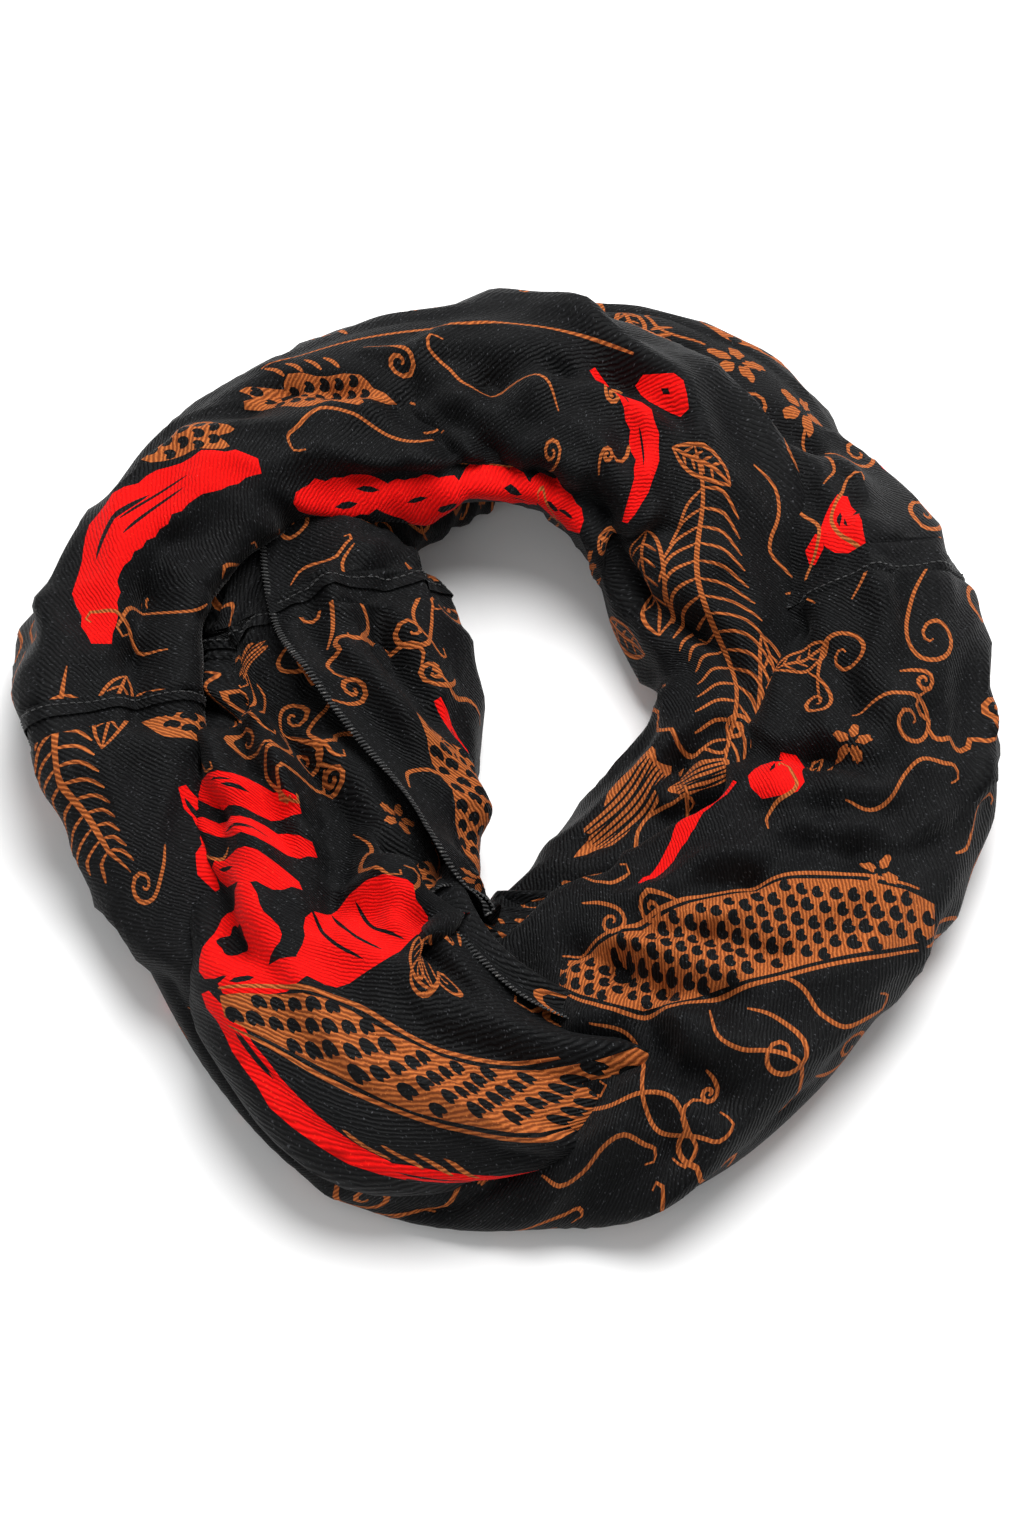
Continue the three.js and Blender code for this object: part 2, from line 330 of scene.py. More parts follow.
# the big folds: where the laps cross at the back
fold([(1710, 80), (1680, 83), (1628, 112)], 11, 10)
fold([(1688, 72), (1662, 84), (1640, 100)], 9, -7)
fold([(1710, 72), (1677, 50), (1652, 52)], 9, 9)
fold([(1760, 76), (1718, 66), (1697, 46), (1672, 38)], 8, 9)
fold([(80, 70), (88, 66)], 9, 7)
fold([(1600, 60), (1640, 50), (1690, 36), (1740, 30)], 7, 9)
fold([(1606, 112), (1650, 98), (1700, 88)], 6, 6)
# down the inner lap on the right
fold([(1622, 105), (1600, 85), (1582, 78)], 8, -6)
fold([(1615, 62), (1580, 58), (1550, 64), (1528, 82), (1497, 97)], 7, 9)
# the pinch and the overlapping fold on the outer right
fold([(840, 118), (822, 125)], 8, 9)
fold([(668, 88), (673, 108), (672, 130)], 7, 10)
fold([(635, 98), (648, 118), (660, 142)], 8, 7)
fold([(628, 112), (640, 138), (655, 162)], 8, 6)
fold([(724, 104), (700, 118), (676, 140)], 7, 6)
fold([(800, 120), (772, 130), (744, 128)], 7, -5)
# the front right, creased from under the inner lap
fold([(500, 110), (520, 128), (534, 150)], 6, 8)
fold([(556, 96), (574, 112), (590, 140)], 6, 7)
fold([(528, 82), (540, 98), (548, 118), (563, 138)], 7, 9)
fold([(536, 104), (535, 138), (542, 168)], 7, 7)
fold([(543, 128), (550, 148), (560, 160)], 7, -6)
fold([(520, 155), (520, 172)], 7, 6)
# the crumpled inner left, which sinks between the outer lap and the flap
fold([(1096, 196), (1140, 184), (1216, 182)], 24, 11)
fold([(1112, 206), (1140, 196), (1180, 202)], 5, 9)
fold([(1126, 176), (1156, 186), (1196, 188)], 5, -7)
fold([(1192, 172), (1222, 186), (1250, 210)], 6, 9)
fold([(1206, 160), (1236, 172), (1262, 190)], 6, -6)
fold([(1105, 220), (1122, 194), (1146, 172), (1158, 163)], 7, 13)
fold([(1147, 206), (1146, 184), (1142, 166)], 7, 7)
fold([(1157, 176), (1190, 168), (1212, 176)], 8, 13)
fold([(1088, 205), (1106, 198), (1128, 180)], 8, 7)
fold([(1128, 206), (1146, 190)], 8, -7)
fold([(1152, 194), (1180, 186), (1210, 190)], 8, -7)
fold([(1240, 155), (1222, 156), (1200, 160)], 7, 9)
fold([(1216, 184), (1236, 178), (1256, 178)], 9, -6)
fold([(1096, 186), (1116, 176), (1140, 158), (1164, 150)], 8, 9)
fold([(1090, 232), (1112, 232), (1134, 218), (1152, 206)], 7, 8)
fold([(1164, 208), (1190, 206), (1218, 214), (1240, 230)], 9, -6)
fold([(1170, 222), (1200, 222), (1230, 236)], 7, 6)
fold([(1106, 392), (1130, 402), (1158, 398)], 8, 8)
fold([(1100, 414), (1134, 420), (1172, 412)], 7, -6)
fold([(1180, 386), (1206, 396), (1228, 392)], 7, 7)
fold([(1262, 176), (1290, 176), (1320, 172)], 7, 7)
fold([(212, 66), (246, 60), (282, 62)], 12, -6)
fold([(150, 28), (176, 24), (206, 27), (236, 26)], 8, 8)
fold([(104, 10), (170, 8), (250, 9), (330, 12)], 7, -6)
fold([(1100, 242), (1140, 238), (1190, 240), (1246, 246)], 10, 9)
fold([(700, 96), (742, 92), (772, 98)], 9, 7)
fold([(590, 96), (606, 112), (634, 120)], 7, 6)
fold([(1440, 92), (1462, 82), (1484, 92)], 7, 7)
fold([(1416, 70), (1440, 84), (1452, 104)], 7, 6)

# wrinkles die out where the cloth is wound inside itself or pressed on the table,
# and hollows are shallow on the sides, where the laps press on each other
SIDE_SHARE = 0.25  # of a hollow's depth that is left on an upright side
HIDDEN_SHARE = 0.15  # of a wrinkle's height that is left inside the roll
DEEPEST_FOLD, HIGHEST_FOLD = -16, 10
upright = SIDE_SHARE + (1 - SIDE_SHARE) * smooth(outward[:, :, 2] / 0.5)
relief = np.where(relief < 0, relief * upright, relief)
clear_of_table = smooth((surface[:, :, 2] - 3) / 10)
shown = 1 - (1 - HIDDEN_SHARE) * wound_in
relief = np.clip(relief, DEEPEST_FOLD, HIGHEST_FOLD) * clear_of_table * shown
surface = surface + outward * relief[:, :, None]
surface[:, :, 2] = np.maximum(surface[:, :, 2], FLOOR)
outward = normals(surface)


def on_cloth(u, v, grid=surface):
    """The laid cloth's points, or another grid's values, at places u, v on the flat cloth."""
    a = np.asarray(u, float) / STEP_U
    b = np.clip(np.asarray(v, float) / STEP_V, 0, v_count - 1.0001)
    i = np.floor(a).astype(int)
    j = np.floor(b).astype(int)
    s = a - i
    t = b - j

    def weights(x):
        return (
            (-x + 2 * x**2 - x**3) / 2,
            (2 - 5 * x**2 + 3 * x**3) / 2,
            (x + 4 * x**2 - 3 * x**3) / 2,
            (x**3 - x**2) / 2,
        )

    total = np.zeros((len(a), 3))
    for m, wu in zip((-1, 0, 1, 2), weights(s)):
        row = (i + m) % u_count
        for n, wv in zip((-1, 0, 1, 2), weights(t)):
            column = np.clip(j + n, 0, v_count - 1)
            total += grid[row, column] * (wu * wv)[:, None]
    return total


# ---- The print ---------------------------------------------------------------
# Scarlet and copper ink, screen printed on the cloth before it was sewn: brush
# strokes, nets of scales, plumes and scrolls. Places are in millimetres on the
# flat cloth, u round the loop and v across; angles are in degrees.
BLACK, COPPER, RED = 0, 1, 2
motifs = []  # outlines with their ink, each printed over the ones before it


def curve(points, step=2.5, closed=False):
    """A smooth curve through a few points, as points about step apart."""
    p = np.array(points, float)
    n = len(p)
    if n == 2 and not closed:
        parts = max(2, int(np.linalg.norm(p[1] - p[0]) / step))
        return p[0] + (p[1] - p[0]) * np.linspace(0, 1, parts + 1)[:, None]
    out = []
    last = n if closed else n - 1
    for i in range(last):
        if closed:
            p0, p1, p2, p3 = p[i - 1], p[i], p[(i + 1) % n], p[(i + 2) % n]
        else:
            p0 = p[i - 1] if i else 2 * p[0] - p[1]
            p1, p2 = p[i], p[i + 1]
            p3 = p[i + 2] if i + 2 < n else 2 * p[-1] - p[-2]
        parts = max(1, int(round(np.linalg.norm(p2 - p1) / step)))
        t = (np.arange(parts) / parts)[:, None]
        bend = (2 * p0 - 5 * p1 + 4 * p2 - p3) * t**2 + (3 * p1 - p0 - 3 * p2 + p3) * t**3
        out.append(0.5 * (2 * p1 + (p2 - p0) * t + bend))
    if not closed:
        out.append(p[-1:])
    return np.concatenate(out)


def line(points, width=1.3, ink=COPPER, taper=0.6):
    """A printed line that thins towards its ends."""
    middle = curve(points)
    ahead = np.gradient(middle, axis=0)
    ahead /= np.maximum(np.linalg.norm(ahead, axis=1), 1e-6)[:, None]
    side = np.stack([-ahead[:, 1], ahead[:, 0]], 1)
    t = np.linspace(0, 1, len(middle))
    half = width / 2 * (1 - taper * np.abs(2 * t - 1) ** 4)
    left = middle + side * half[:, None]
    right = middle - side * half[:, None]
    motifs.append((np.concatenate([left, right[::-1]]), ink))


def placed(points, at, size, angle):
    """A figure drawn about the origin, sized, turned by degrees and moved to its place."""
    turn = math.radians(angle)
    rows = np.array([[math.cos(turn), math.sin(turn)], [-math.sin(turn), math.cos(turn)]])
    return np.asarray(points, float) * size @ rows + np.asarray(at, float)


def inside(outline, x, y):
    """Whether a point lies within a closed outline."""
    x0, y0 = outline.T
    x1, y1 = np.roll(outline, -1, axis=0).T
    crosses = (y0 > y) != (y1 > y)
    at = x0[crosses] + (y - y0[crosses]) * (x1[crosses] - x0[crosses]) / (y1[crosses] - y0[crosses])
    return np.count_nonzero(at > x) % 2 == 1


def blot(at, length, height, angle=0, ink=RED, seed=1):
    """An oval of ink with an uneven rim."""
    draw = np.random.default_rng(seed)
    turns = np.linspace(0, 2 * math.pi, 33)[:-1]
    rim = 1 + sum(draw.normal(0, 0.07) * np.cos(k * turns + draw.uniform(0, 6)) for k in (2, 3, 5, 7))
    oval = np.stack([rim * np.cos(turns) * length / 2, rim * np.sin(turns) * height / 2], 1)
    motifs.append((placed(oval, at, 1, angle), ink))
    return motifs[-1][0]


def scales(outline, pitch=7.0, seed=1):
    """A copper net whose holes are rows of black crescents, like fish scales."""
    motifs.append((outline, COPPER))
    draw = np.random.default_rng(seed)
    low = outline.min(axis=0)
    high = outline.max(axis=0)
    turns = np.linspace(0, 2 * math.pi, 13)[:-1]
    facing = np.cos(turns - 0.4)
    rise = pitch * 0.86
    for row in range(int((high[1] - low[1]) / rise) + 1):
        for column in range(int((high[0] - low[0]) / pitch) + 2):
            x = low[0] + pitch * (column + 0.5 * (row % 2)) + draw.normal(0, 0.04 * pitch)
            y = low[1] + rise * (row + 0.4) + draw.normal(0, 0.04 * pitch)
            if not all(inside(outline, x + dx, y + dy) for dx, dy in ((-2, 0), (2, 0), (0, -2), (0, 2))):
                continue
            radius = pitch * draw.uniform(0.38, 0.45) * (1 - 0.72 * np.clip(facing, 0, 1) ** 6)
            crescent = np.stack([radius * np.cos(turns), radius * np.sin(turns)], 1)
            motifs.append((curve(crescent + (x, y), 1.6, closed=True), BLACK))


def swelling(points, width, step=5.0, fullness=0.5):
    """The two sides of a stroke that swells in the middle and closes at its ends."""
    middle = curve(points, step)
    ahead = np.gradient(middle, axis=0)
    ahead /= np.maximum(np.linalg.norm(ahead, axis=1), 1e-6)[:, None]
    side = np.stack([-ahead[:, 1], ahead[:, 0]], 1)
    t = np.linspace(0.03, 0.97, len(middle))
    half = width / 2 * np.sin(math.pi * t) ** fullness
    return middle, side, half


def brush(points, width, seed=1, slits=2):
    """A dry brush stroke in red: ragged sides, and black slits where the ink ran out."""
    draw = np.random.default_rng(seed)
    middle, side, half = swelling(points, width, 4.0)
    left = middle + side * (half * draw.uniform(0.82, 1.15, len(half)))[:, None]
    right = middle - side * (half * draw.uniform(0.82, 1.15, len(half)))[:, None]
    motifs.append((np.concatenate([left, right[::-1]]), RED))
    for _ in range(slits):
        first = draw.integers(1, max(2, len(middle) // 2))
        last = min(len(middle) - 1, first + max(2, len(middle) // 3))
        off = draw.uniform(-0.5, 0.5)
        run = middle[first:last] + side[first:last] * (half[first:last] * off)[:, None]
        if len(run) > 1:
            line(run[:: max(1, len(run) // 4)], draw.uniform(0.8, 0.13 * width + 0.9), BLACK, 1.0)


def sash(points, width, pitch=7.0, seed=1):
    """A band of scales between two drawn borders."""
    middle, side, half = swelling(points, width, 6.0, 0.55)
    left = middle + side * half[:, None]
    right = middle - side * half[:, None]
    scales(np.concatenate([left, right[::-1]]), pitch, seed)
    for border, way in ((left, 1), (right, -1)):
        line((border + side * way * 2.4)[::3], 1.7)


def tendril(at, length, angle=0, hand=1, width=1.5):
    """A long wave of a line that curls over at its tip."""
    t = np.linspace(0, 1, 6)
    wave = np.stack([t, hand * 0.13 * np.sin(2 * math.pi * t)], 1)
    curl = [(1.1, hand * 0.06), (1.1, hand * 0.17), (1.01, hand * 0.17)]
    line(placed(np.concatenate([wave, curl]), at, length, angle), width)


def scroll(at, size, angle=0, hand=1, width=1.7):
    """A spiral with a trailing tail."""
    t = np.linspace(0, 1, 13)
    sweep = 2.6 * math.pi * t - math.pi / 2
    radius = 0.5 * (1 - t) ** 0.8 + 0.05
    spiral = np.stack([radius * np.cos(sweep), radius * np.sin(sweep)], 1)
    figure = np.concatenate([[(-1.3, -0.3), (-0.7, -0.52)], spiral]) * (1, hand)
    line(placed(figure, at, size, angle), width)


def cloud(at, size, angle=0, lobes=4):
    """A scalloped cloud edge between two spirals."""
    t = np.linspace(0, math.pi, lobes * 4 + 1)
    reach = 0.5 + 0.13 * np.abs(np.sin(lobes * t))
    line(placed(np.stack([1.3 * reach * np.cos(t), reach * np.sin(t)], 1), at, size, angle), 1.8)
    scroll(placed([(0.7, -0.15)], at, size, angle)[0], size * 0.32, angle + 180, -1)
    scroll(placed([(-0.7, -0.15)], at, size, angle)[0], size * 0.32, angle)


def leaf(at, length, angle=0, veins=4):
    """A pointed leaf in outline, with a midrib and slanting veins."""
    t = np.linspace(0, 1, 8)
    edge = 0.2 * np.sin(math.pi * t) ** 0.8
    for way in (1, -1):
        line(placed(np.stack([t, way * edge], 1), at, length, angle), 1.5)
        for k in range(veins):
            root = 0.18 + 0.6 * k / veins
            line(placed([(root, 0), (root + 0.12, way * 0.13)], at, length, angle), 1.1)
    line(placed([(0, 0), (1, 0)], at, length, angle), 1.4)


def feather(at, length, angle=0, bend=0.12, barbs=11):
    """A bowed quill with a bent barb to each side at every step."""
    t = np.linspace(0, 1, 8)
    line(placed(np.stack([t, bend * np.sin(math.pi * t)], 1), at, length, angle), 2.0, taper=0.8)
    for k in range(barbs):
        root = 0.12 + 0.82 * k / barbs
        rise = bend * math.sin(math.pi * root)
        reach = 0.14 * math.sin(math.pi * (0.15 + 0.75 * root))
        for way in (1, -1):
            barb = [(root, rise), (root + 0.03, rise + way * reach * 0.6), (root + 0.1, rise + way * reach)]
            line(placed(barb, at, length, angle), 1.3)


def tuft(at, length, height, angle=0, hairs=7, seed=1):
    """A copper oval brushed through with fine black hairs."""
    blot(at, length, height, angle, COPPER, seed)
    for k in range(hairs):
        off = (k + 0.5) / hairs - 0.5
        bow = 0.12 + 0.1 * (k % 3)
        hair = [(-0.42, off * 0.8), (0, off * 0.8 + bow * 0.4), (0.42, off * 0.6)]
        line(placed(np.array(hair) * (length, height), at, 1, angle), 1.0, BLACK)


def dabs(at, count=4, spacing=6.0, angle=0):
    """Short slanting dabs in a row."""
    for k in range(count):
        line(placed([(k * spacing, 0), (k * spacing + 2, 4), (k * spacing + 5, 7)], at, 1, angle), 1.9)


def blossom(at, size, petals=5, ink=COPPER):
    """Rounded petals about a bare middle."""
    for k in range(petals):
        angle = 360 * k / petals
        blot(placed([(0.33, 0)], at, size, angle)[0], size * 0.42, size * 0.26, angle, ink, k + 1)


# outer left: a long red stroke, a plume, a thin drip
brush([(95, 32), (130, 42), (165, 46), (202, 40)], 23, 2, 3)
tendril((120, 62), 34, 20)
feather((212, 52), 82, -6, 0.1)
leaf((214, 30), 34, 20)
brush([(268, 16), (288, 10), (306, 14), (328, 8)], 8, 4, 1)
scroll((300, 40), 13, 40)
dabs((330, 30), 3)
tendril((345, 62), 48, 15, -1)
scroll((395, 85), 14, 100)
# the back: scales, a long border line, the mottled red band inside the ring
scales(blot((62, 72), 50, 22, 10, COPPER, 3), 6.0, 3)
scales(blot((112, 58), 34, 18, 35, COPPER, 8), 6.0, 5)
line([(1632, 120), (1665, 114), (1700, 106), (1740, 100), (1765, 92)], 1.4)
for place, bend in (((1610, 48), 0), ((1648, 36), 4), ((1690, 28), 0), ((1728, 24), 3)):
    brush([place, (place[0] + 22, place[1] - 6 + bend), (place[0] + 44, place[1] - 8)], 17, int(place[0]), 2)
tendril((1648, 78), 52, 12)
tendril((1700, 58), 60, -8, -1)
cloud((1622, 88), 17, 60, 3)
leaf((1600, 100), 26, 150)
scroll((1715, 86), 11, 200)
dabs((1738, 84), 4, 7)
# back right: blossoms and scrolls on the lower lap
blossom((868, 138), 20)
blossom((838, 140), 22)
scroll((852, 122), 12, 30)
tendril((800, 120), 36, 25)
scroll((812, 150), 14, 120, -1)
brush([(792, 126), (778, 120), (764, 126)], 15, 6)
brush([(780, 112), (770, 106)], 9, 7, 1)
tendril((748, 104), 46, 5, -1)
tendril((745, 118), 50, 10)
# right: scrolls, and red strokes in the deep fold
scroll((722, 112), 19, 10)
scroll((728, 148), 20, 200, -1)
scroll((694, 140), 18, 80)
cloud((705, 160), 24, 95)
scroll((700, 100), 13, 150)
tendril((655, 124), 44, 50)
brush([(672, 92), (655, 96), (640, 92)], 19, 9, 3)
brush([(640, 84), (610, 78), (570, 80)], 6, 10, 0)
# front right: the broad sash of scales, then long waving lines
sash([(516, 84), (544, 106), (578, 120), (610, 142), (636, 178)], 37, 6.8, 7)
blossom((638, 150), 15, 4)
scroll((548, 84), 12, 60)
scroll((565, 92), 10, 220, -1)
tendril((500, 118), 58, 62)
tendril((516, 112), 62, 78, -1)
tendril((556, 138), 48, 80)
tendril((574, 142), 46, 60, -1)
scroll((566, 168), 16, 80)
cloud((534, 176), 20, 100, 3)
tendril((478, 142), 40, 30)
# inner right: a long plume, a leaf, a cloud line, a brushed tuft
feather((1596, 108), 130, 184, 0.1, 15)
leaf((1574, 76), 44, 190)
leaf((1520, 106), 36, 170)
cloud((1486, 76), 28, 100)
tuft((1438, 72), 46, 18, 10, 8, 3)
tuft((1462, 92), 26, 12, 40, 5, 5)
tendril((1404, 84), 44, 5)
tendril((1412, 96), 40, -6, -1)
brush([(1642, 108), (1622, 100), (1604, 88), (1590, 68)], 11, 12)
brush([(1626, 116), (1606, 114)], 9, 13, 1)
# inner left: tendrils in the crumpled cloth, broad red bands below them
for u0, v0, size, angle in (
    (1086, 190, 12, 20), (1094, 176, 14, 140), (1110, 206, 12, 260), (1124, 164, 15, 60), (1138, 196, 13, 10),
    (1150, 168, 12, 200), (1166, 196, 14, 100), (1172, 172, 12, 330),
):
    scroll((u0, v0), size, angle)
tendril((1100, 214), 34, -40)
tendril((1130, 182), 30, 10, -1)
tuft((1118, 188), 24, 9, 60, 4, 8)
brush([(1186, 228), (1194, 208), (1200, 188)], 15, 14)
brush([(1202, 234), (1212, 212), (1216, 192)], 12, 15)
brush([(1222, 240), (1228, 222), (1232, 208)], 13, 16, 1)
blot((1246, 242), 34, 26, 70, RED, 17)
blot((1243, 246), 13, 9, 70, BLACK, 18)
brush([(1258, 258), (1262, 238), (1264, 222)], 10, 19, 1)
brush([(1256, 264), (1280, 268), (1302, 272)], 12, 20, 2)
for u0, v0, length, angle in (
    (1092, 222, 30, -60), (1120, 214, 36, -30), (1146, 210, 34, 10), (1160, 180, 36, 20), (1178, 166, 30, 60),
    (1204, 168, 34, 20), (1104, 160, 30, 0), (1136, 156, 36, 12), (1216, 226, 26, 90), (1236, 172, 26, 10),
):
    tendril((u0, v0), length, angle, -1)
cloud((1176, 150), 22, 80, 3)
# the free flap: a cloud line, small scales and a red stroke
cloud((1142, 408), 28, 80)
scroll((1126, 388), 13, 40)
scales(blot((1192, 402), 56, 30, -10, COPPER, 21), 6.2, 11)
brush([(1152, 392), (1172, 386), (1192, 384)], 10, 22, 1)
brush([(1222, 404), (1226, 392), (1220, 382)], 7, 23, 0)
tendril((1090, 402), 36, 10)
# the front of the inner lap: the big red patch, leaves, a tail of scales, dry strokes
blot((1258, 200), 60, 34, 75, RED, 24)
for off in (-8, 2, 10):
    line([(1240, 200 + off), (1258, 203 + off), (1272, 198 + off)], 1.6, BLACK, 1.0)
leaf((1272, 184), 34, 10)
scroll((1296, 190), 14, 120)
scroll((1312, 178), 13, 60, -1)
sash([(1262, 262), (1282, 236), (1304, 226), (1330, 212), (1356, 184)], 24, 6.4, 17)
brush([(1296, 272), (1316, 264), (1340, 252), (1364, 238)], 11, 25, 3)
brush([(1312, 280), (1334, 272), (1358, 256)], 7, 26, 1)
dabs((1292, 262), 4, 6, -20)
tuft((1348, 226), 24, 15, 40, 4, 27)

# small figures fill the rest of the cloth, clear of the ones above
FILL_PITCH = 23.0
CLEARANCE = 13.0
WATCHED = 400  # outlines, from the first one, that no small figure starts inside
fill = np.random.default_rng(5)
drawn = np.concatenate([outline for outline, _ in motifs])
drawn[:, 0] %= LOOP
for row in range(int(CLOTH_WIDTH / FILL_PITCH)):
    for column in range(int(LOOP / FILL_PITCH)):
        at = (FILL_PITCH * (column + 0.5) + fill.normal(0, 5), FILL_PITCH * (row + 0.5) + fill.normal(0, 5))
        kind = fill.random()
        angle = fill.uniform(0, 360)
        hand = fill.choice((-1, 1))
        if np.hypot(*(drawn - at).T).min() < CLEARANCE:
            continue
        if any(inside(outline, *at) for outline, _ in motifs[:WATCHED] if len(outline) > 20):
            continue
        if kind < 0.36:
            tendril(at, fill.uniform(22, 38), angle, hand)
        elif kind < 0.62:
            scroll(at, fill.uniform(9, 15), angle, hand)
        elif kind < 0.72:
            dabs(at, 3, 6, angle)
        elif kind < 0.8:
            blossom(at, fill.uniform(13, 19), 5)
        elif kind < 0.88:
            leaf(at, fill.uniform(20, 30), angle, 3)
        elif kind < 0.95:
            brush(placed([(0, 0), (9, 2), (20, 0)], at, 1, angle), 8, row * 100 + column, 1)
        else:
            scales(blot(at, 30, 18, angle, COPPER, column + 1), 6.2, row + 1)


# ---- The printed panels ----------------------------------------------------
# Three lengths of black cotton twill with the print, cut across and lapped at
# the seams. Each is one sheet whose faces follow the outlines of the inks.
MM = 0.001
POINT_STEP = 3.5  # spacing of a panel's points on the flat cloth
ROW_SHARE = 0.87  # rows are this much closer than columns, for even triangles
TILE = 52.0  # a panel is divided into faces one strip of this length at a time
KEYS_PER_MM = 100  # points that round to the same place at this rate are one


def printed_panel(start, end):
    """Flat triangles of one panel with the ink of each, conforming to the print's outlines."""
    tiles = max(1, int(round((end - start) / TILE)))
    cuts = np.linspace(start, end, tiles + 1)
    figures = [(outline + (shift, 0.0), ink) for outline, ink in motifs for shift in (0.0, LOOP)]
    boxes = [(outline[:, 0].min(), outline[:, 0].max()) for outline, _ in figures]
    keys = {}
    points = []
    triangles = []
    inks = []
    rows = int(round(CLOTH_WIDTH / (POINT_STEP * ROW_SHARE)))
    row_v = np.linspace(0, CLOTH_WIDTH, rows + 1)
    for a, b in zip(cuts[:-1], cuts[1:]):
        columns = int(round((b - a) / POINT_STEP))
        flat = [Vector((a, v)) for v in row_v] + [Vector((b, v)) for v in row_v]
        outer = list(range(rows + 1, 2 * rows + 2)) + list(range(rows, -1, -1))
        for r, v in enumerate(row_v):
            shift = 0.5 if r % 2 and 0 < r < rows else 0.0
            for c in range(1, columns if not shift else columns + 1):
                flat.append(Vector((a + (b - a) * (c - shift) / columns, v)))
        shapes = [outer]
        colours = [BLACK]
        for (outline, ink), (low, high) in zip(figures, boxes):
            if high > a and low < b:
                first = len(flat)
                x, y = outline.T
                if np.sum(x * np.roll(y, -1) - y * np.roll(x, -1)) < 0:
                    outline = outline[::-1]
                flat += [Vector(q) for q in outline.tolist()]
                shapes.append(list(range(first, len(flat))))
                colours.append(ink)
        made = delaunay_2d_cdt(flat, [], shapes, 0, 1e-4)
        for face, sources in zip(made[2], made[5]):
            if 0 not in sources:
                continue
            ids = []
            for k in face:
                q = made[0][k]
                key = (round(q.x * KEYS_PER_MM), round(q.y * KEYS_PER_MM))
                if key not in keys:
                    keys[key] = len(points)
                    points.append((q.x, q.y))
                ids.append(keys[key])
            if len(set(ids)) == 3:
                triangles.append(ids)
                inks.append(colours[max(sources)])
    return np.array(points), triangles, inks


# the panels are joined at three seams, given in stations; no ink lies beside a seam
SEAMS = tuple(np.interp((4.2, 14.9, 21.9), fine, lengths))
BARE_MARGIN = 6.0
PAST_EDGE = 9.0
for seam in SEAMS:
    for side in (seam, seam + LOOP):
        low, high = side - BARE_MARGIN, side + BARE_MARGIN
        top = CLOTH_WIDTH + PAST_EDGE
        motifs.append((np.array([(low, -PAST_EDGE), (high, -PAST_EDGE), (high, top), (low, top)]), BLACK))


def add_node(tree, kind, settings=None, **inputs):
    """A node with its settings; an input is a value or another node's output."""
    node = tree.nodes.new(kind)
    for name, value in (settings or {}).items():
        setattr(node, name, value)
    for name, value in inputs.items():
        key = int(name[1:]) if name[0] == "_" else name.replace("_", " ")
        socket = node.inputs[key]
        if isinstance(value, bpy.types.NodeSocket):
            tree.links.new(value, socket)
        else:
            socket.default_value = value
    return node


def twill(name, low_hex, high_hex, fleck_hex, roughness):
    """Cotton twill: diagonal wales, slubbed threads and pale flecks of lint, with shade painted into the
    colour of the weave's valleys.

    The eye gets a dry, streaked cloth with a faint sheen. The wales are drawn 1.4 mm apart, coarser
    than the real ones at about 1 mm, so that they show; a slub is about 1 mm wide and 2 mm long.
    """
    material = bpy.data.materials.new(name)
    material.use_nodes = True
    tree = material.node_tree
    shader = tree.nodes["Principled BSDF"]
    flat = add_node(tree, "ShaderNodeUVMap", {"uv_map": "cloth"})
    millimetres = add_node(tree, "ShaderNodeVectorMath", {"operation": "SCALE"},
                           _0=flat.outputs[0], Scale=1000.0)
    drift = add_node(tree, "ShaderNodeTexNoise", None, Vector=millimetres.outputs[0], Scale=0.25, Detail=2.0)
    uneven = add_node(tree, "ShaderNodeVectorMath", {"operation": "MULTIPLY_ADD"},
                      _0=drift.outputs["Color"], _1=(1.6, 1.6, 0.0), _2=millimetres.outputs[0])
    wale = add_node(tree, "ShaderNodeTexWave", {"wave_type": "BANDS", "bands_direction": "DIAGONAL"},
                    Vector=uneven.outputs[0], Scale=0.32, Distortion=1.1, Detail=2.0, Detail_Scale=2.0)
    warp = add_node(tree, "ShaderNodeVectorMath", {"operation": "MULTIPLY"},
                    _0=millimetres.outputs[0], _1=(1.5, 0.55, 1.0))
    slub = add_node(tree, "ShaderNodeTexNoise", None,
                    Vector=warp.outputs[0], Scale=0.8, Detail=4.0, Roughness=0.75)
    thickness = add_node(tree, "ShaderNodeMath", {"operation": "MULTIPLY"},
                         _0=wale.outputs["Fac"], _1=slub.outputs["Fac"])
    shade = add_node(tree, "ShaderNodeMapRange", None,
                     Value=thickness.outputs[0], From_Min=0.08, From_Max=0.5)
    # painted shade: the colour follows the weave's height, the low colour in the valleys of wales and slubs,
    # the high colour on the raised threads
    dyed_and_valley_shaded = add_node(tree, "ShaderNodeMix", {"data_type": "RGBA"},
                    _0=shade.outputs[0], _6=linear(low_hex), _7=linear(high_hex))
    lint = add_node(tree, "ShaderNodeTexNoise", None, Vector=warp.outputs[0], Scale=1.3, Detail=2.0)
    caught = add_node(tree, "ShaderNodeMapRange", None,
                      Value=lint.outputs["Fac"], From_Min=0.64, From_Max=0.72)
    colour = add_node(tree, "ShaderNodeMix", {"data_type": "RGBA"},
                      _0=caught.outputs[0], _6=dyed_and_valley_shaded.outputs[2], _7=linear(fleck_hex))
    tree.links.new(colour.outputs[2], shader.inputs["Base Color"])
    height = add_node(tree, "ShaderNodeMath", {"operation": "MULTIPLY_ADD"},
                      _0=slub.outputs["Fac"], _1=1.2, _2=wale.outputs["Fac"])
    bump = add_node(tree, "ShaderNodeBump", None, Height=height.outputs[0], Strength=0.8, Distance=0.0004)
    tree.links.new(bump.outputs[0], shader.inputs["Normal"])
    shader.inputs["Roughness"].default_value = roughness
    shader.inputs["Sheen Weight"].default_value = 0.04
    shader.inputs["Sheen Roughness"].default_value = 0.35
    shader.inputs["Specular IOR Level"].default_value = 0.13
    return material
